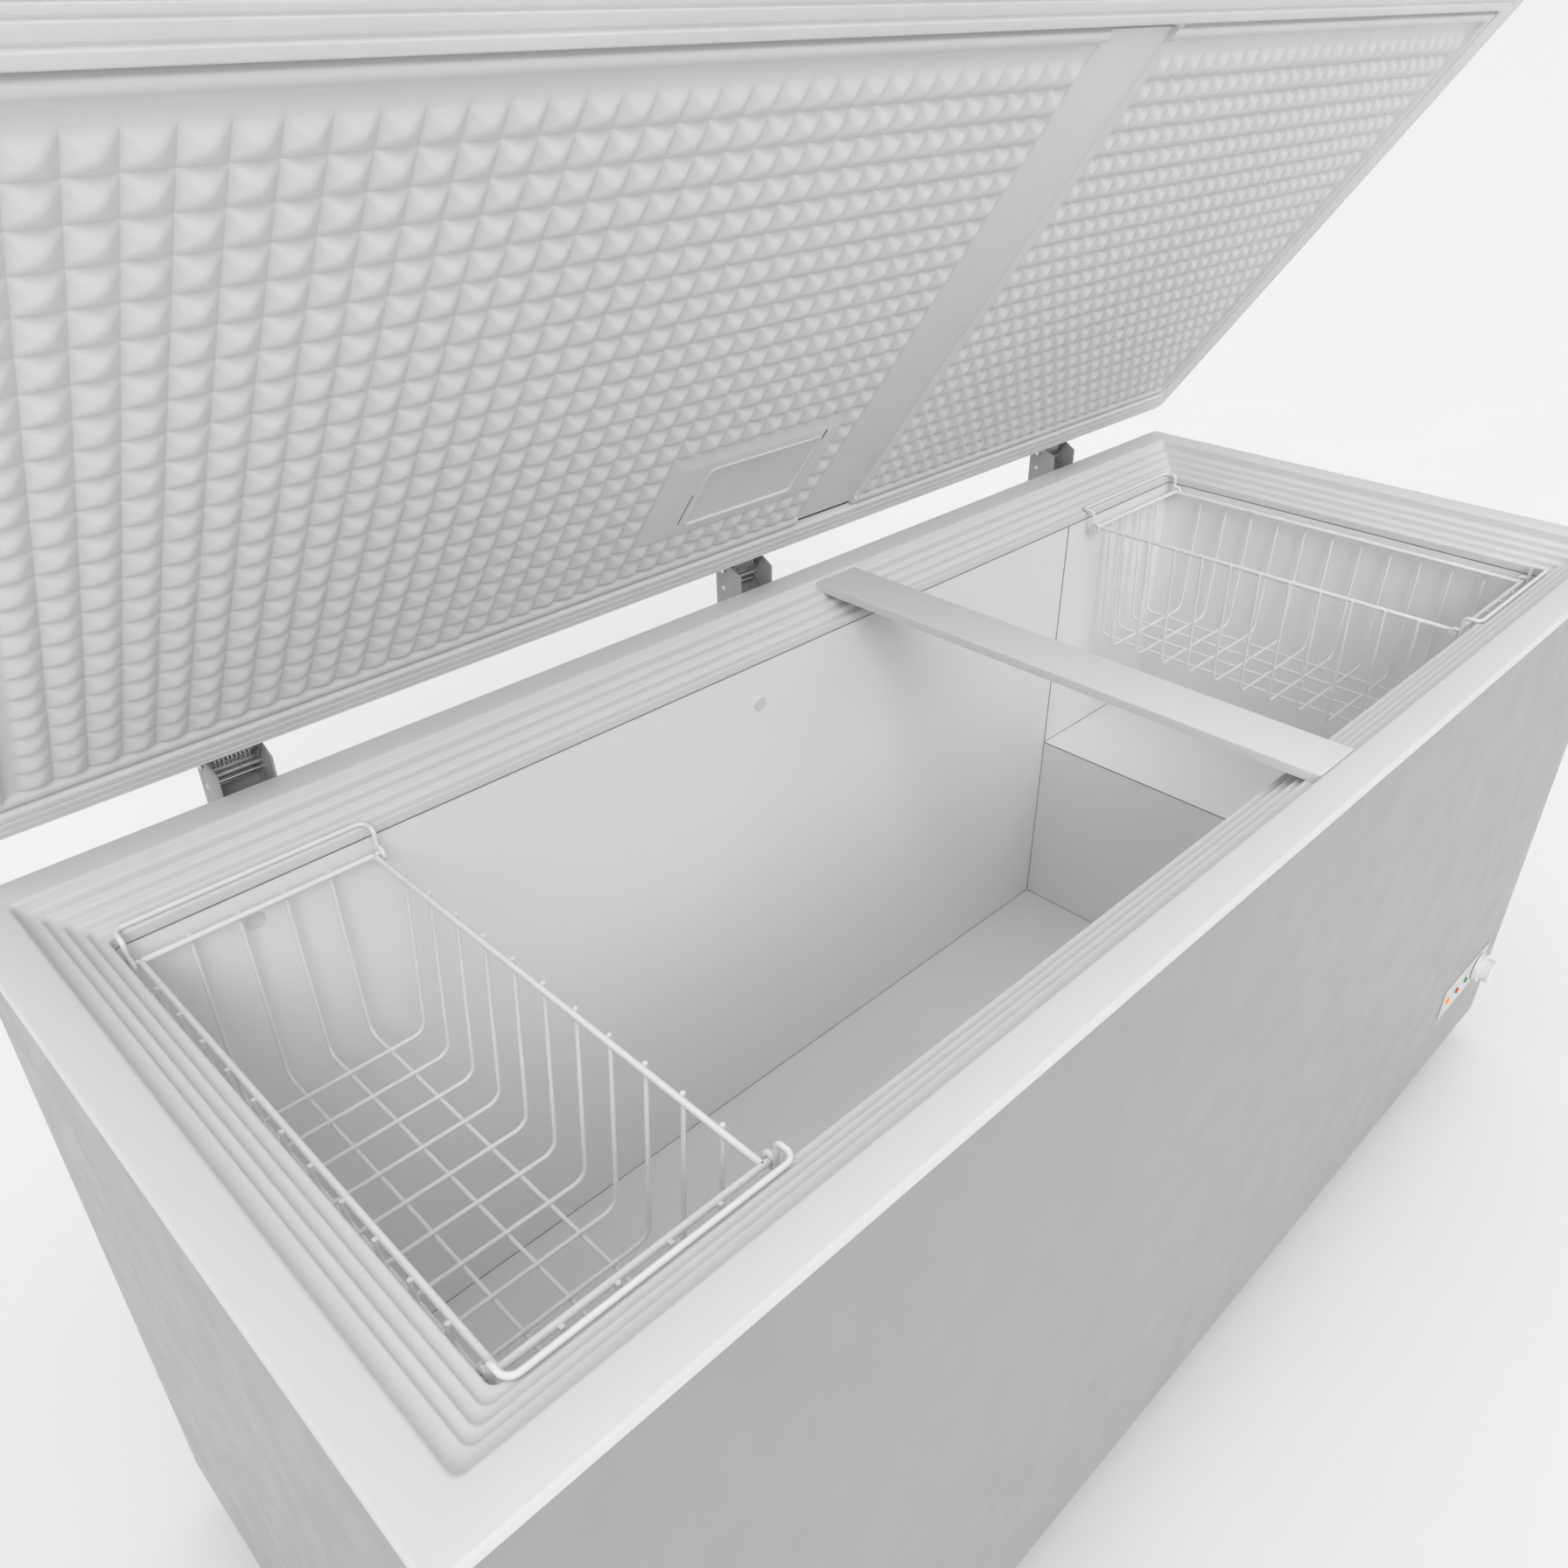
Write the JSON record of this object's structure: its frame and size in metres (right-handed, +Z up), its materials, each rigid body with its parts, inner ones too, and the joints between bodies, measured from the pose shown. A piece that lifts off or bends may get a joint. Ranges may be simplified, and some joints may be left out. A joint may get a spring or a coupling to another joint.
{
  "type": "chest freezer",
  "caption": "Chest freezer with a hinged embossed lid held open, a stepped inner tub, a crossbar and hanging wire baskets.",
  "frame": {"origin": "on the floor, under the middle of the whole object as it stands with its lid open", "axes": "+X to the right along the length, +Y to the back where the hinges are, +Z up; the front panel faces -Y"},
  "size_m": [1.836, 0.8078, 1.551],
  "materials": {
    "white_steel": "satin",
    "galvanised": "satin",
    "foam": "matte",
    "liner_aluminium": "satin",
    "rim_plastic": "satin",
    "lid_plastic": "satin",
    "gasket_rubber": "matte",
    "copper": "polished",
    "coil_steel": "satin",
    "compressor_black": "gloss",
    "black_rubber": "matte",
    "black_plastic": "matte",
    "grey_plastic": "matte",
    "knob_plastic": "gloss",
    "zinc": "polished",
    "spring_steel": "gloss",
    "green_lens": "gloss",
    "red_lens": "gloss",
    "orange_lens": "gloss",
    "lamp_glass": "matte",
    "coated_wire": "gloss"
  },
  "bodies": {
    "cabinet": {"front_panel": "white_steel", "left_end_panel": "white_steel", "right_end_panel": "white_steel", "back_panel": "galvanised", "base_plate": "galvanised", "cabinet_foam": "foam", "inner_liner": "liner_aluminium", "rim_front": "rim_plastic", "rim_back": "rim_plastic", "rim_left": "rim_plastic", "rim_right": "rim_plastic", "crossbar": "rim_plastic", "liner_plugs": "rim_plastic", "evaporator_coil": "copper", "condenser_coil": "coil_steel", "bay_panel": "galvanised", "compressor": "compressor_black", "compressor_feet": "coil_steel", "compressor_grommets": "black_rubber", "compressor_bolts": "zinc", "relay_cover": "black_plastic", "filter_drier": "copper", "refrigerant_pipes": "copper", "side_grille": "black_plastic", "grille_screws": "zinc", "control_plate": "grey_plastic", "thermostat_body": "knob_plastic", "green_lamp": "green_lens", "red_lamp": "red_lens", "orange_lamp": "orange_lens", "cord_gland": "black_rubber", "drain_tube": "grey_plastic", "levelling_feet": "black_plastic", "roller_brackets": "galvanised", "roller_axles": "zinc", "hinge_brackets": "white_steel", "hinge_pins": "zinc", "hinge_springs": "spring_steel"},
    "lid": {"lid_skin": "white_steel", "lid_foam": "foam", "lid_liner_left": "lid_plastic", "lid_liner_right": "lid_plastic", "lid_joint_strip": "lid_plastic", "lid_gasket": "gasket_rubber", "lamp_housing": "lid_plastic", "lamp_lens": "lamp_glass", "lid_handle": "lid_plastic", "hinge_leaves": "galvanised"},
    "basket_left": {"basket_left": "coated_wire"},
    "basket_right": {"basket_right": "coated_wire"},
    "basket_left_handle_front": {"basket_left_handle_front": "coated_wire"},
    "basket_left_handle_back": {"basket_left_handle_back": "coated_wire"},
    "basket_right_handle_front": {"basket_right_handle_front": "coated_wire"},
    "basket_right_handle_back": {"basket_right_handle_back": "coated_wire"},
    "knob": {"thermostat_knob": "knob_plastic"},
    "plug": {"drain_plug": "knob_plastic"},
    "cap": {"drain_cap": "knob_plastic"},
    "wheel_front": {"roller_wheel_front": "black_rubber"},
    "wheel_back": {"roller_wheel_back": "black_rubber"}
  },
  "joints": [
    {"name": "lid_hinge", "type": "hinge", "parent": "cabinet", "child": "lid", "pos_m": [0, 0.3884, 0.881], "axis": [-1, 0, 0], "range_deg": [-54.5, 25]},
    {"name": "basket_left_slide", "type": "slide", "parent": "cabinet", "child": "basket_left", "axis": [1, 0, 0], "range_m": [0, 0.65]},
    {"name": "basket_right_slide", "type": "slide", "parent": "cabinet", "child": "basket_right", "axis": [1, 0, 0], "range_m": [-0.45, 0]},
    {"name": "thermostat_turn", "type": "hinge", "parent": "cabinet", "child": "knob", "pos_m": [0.825, -0.3922, 0.195], "axis": [0, -1, 0], "range_deg": [-140, 140]},
    {"name": "drain_plug_lift", "type": "slide", "parent": "cabinet", "child": "plug", "axis": [0, 0, 1], "range_m": [0, 0.03]},
    {"name": "drain_cap_pull", "type": "slide", "parent": "cabinet", "child": "cap", "axis": [0, -1, 0], "range_m": [0, 0.025]},
    {"name": "front_roller_spin", "type": "hinge", "parent": "cabinet", "child": "wheel_front", "pos_m": [0.823, -0.3086, 0.025], "axis": [0, 1, 0], "continuous": true},
    {"name": "back_roller_spin", "type": "hinge", "parent": "cabinet", "child": "wheel_back", "pos_m": [0.823, 0.2814, 0.025], "axis": [0, 1, 0], "continuous": true},
    {"name": "basket_left_handle_front_swing", "type": "hinge", "parent": "basket_left", "child": "basket_left_handle_front", "pos_m": [-0.708, -0.2756, 0.805], "axis": [-1, 0, 0], "range_deg": [0, 126]},
    {"name": "basket_left_handle_back_swing", "type": "hinge", "parent": "basket_left", "child": "basket_left_handle_back", "pos_m": [-0.708, 0.2484, 0.805], "axis": [1, 0, 0], "range_deg": [0, 126]},
    {"name": "basket_right_handle_front_swing", "type": "hinge", "parent": "basket_right", "child": "basket_right_handle_front", "pos_m": [0.708, -0.2756, 0.805], "axis": [-1, 0, 0], "range_deg": [0, 126]},
    {"name": "basket_right_handle_back_swing", "type": "hinge", "parent": "basket_right", "child": "basket_right_handle_back", "pos_m": [0.708, 0.2484, 0.805], "axis": [1, 0, 0], "range_deg": [0, 126]}
  ]
}
